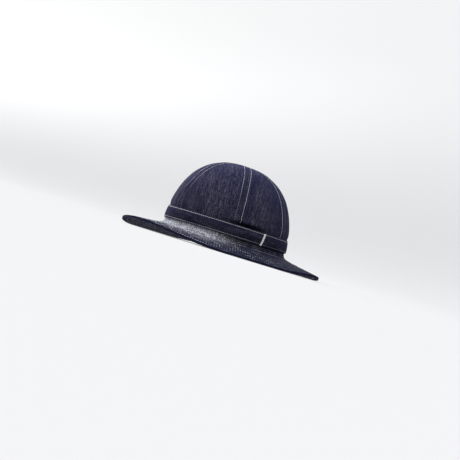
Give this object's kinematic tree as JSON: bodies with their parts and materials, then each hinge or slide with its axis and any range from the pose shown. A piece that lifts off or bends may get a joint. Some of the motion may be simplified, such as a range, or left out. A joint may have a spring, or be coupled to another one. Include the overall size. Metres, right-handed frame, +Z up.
{
  "type": "six-panel denim field hat",
  "caption": "Denim field hat with a domed panelled crown, a sewn band with a small plain side tab, and a wide two-ply stitched brim that slopes down all round.",
  "frame": {"origin": "on the plane that the brim rests on, under the middle of the crown", "axes": "+Z up, -Y the front of the hat, +X the wearer's left"},
  "size_m": [0.2968, 0.3256, 0.1379],
  "materials": {
    "crown_denim": "dark indigo denim, slightly slubby, matte",
    "band_denim": "dark indigo denim, matte",
    "brim_denim": "indigo denim quilted with rows of pale stitching",
    "brim_lining_denim": "dark denim underside, matte",
    "white_tape": "plain white woven tape"
  },
  "bodies": {
    "root": {"panel_front_left": "crown_denim", "panel_side_left": "crown_denim", "panel_back_left": "crown_denim", "panel_back_right": "crown_denim", "panel_side_right": "crown_denim", "panel_front_right": "crown_denim", "hat_band": "band_denim", "side_tab": "white_tape", "brim_upper": "brim_denim", "brim_under": "brim_lining_denim"}
  },
  "joints": []
}
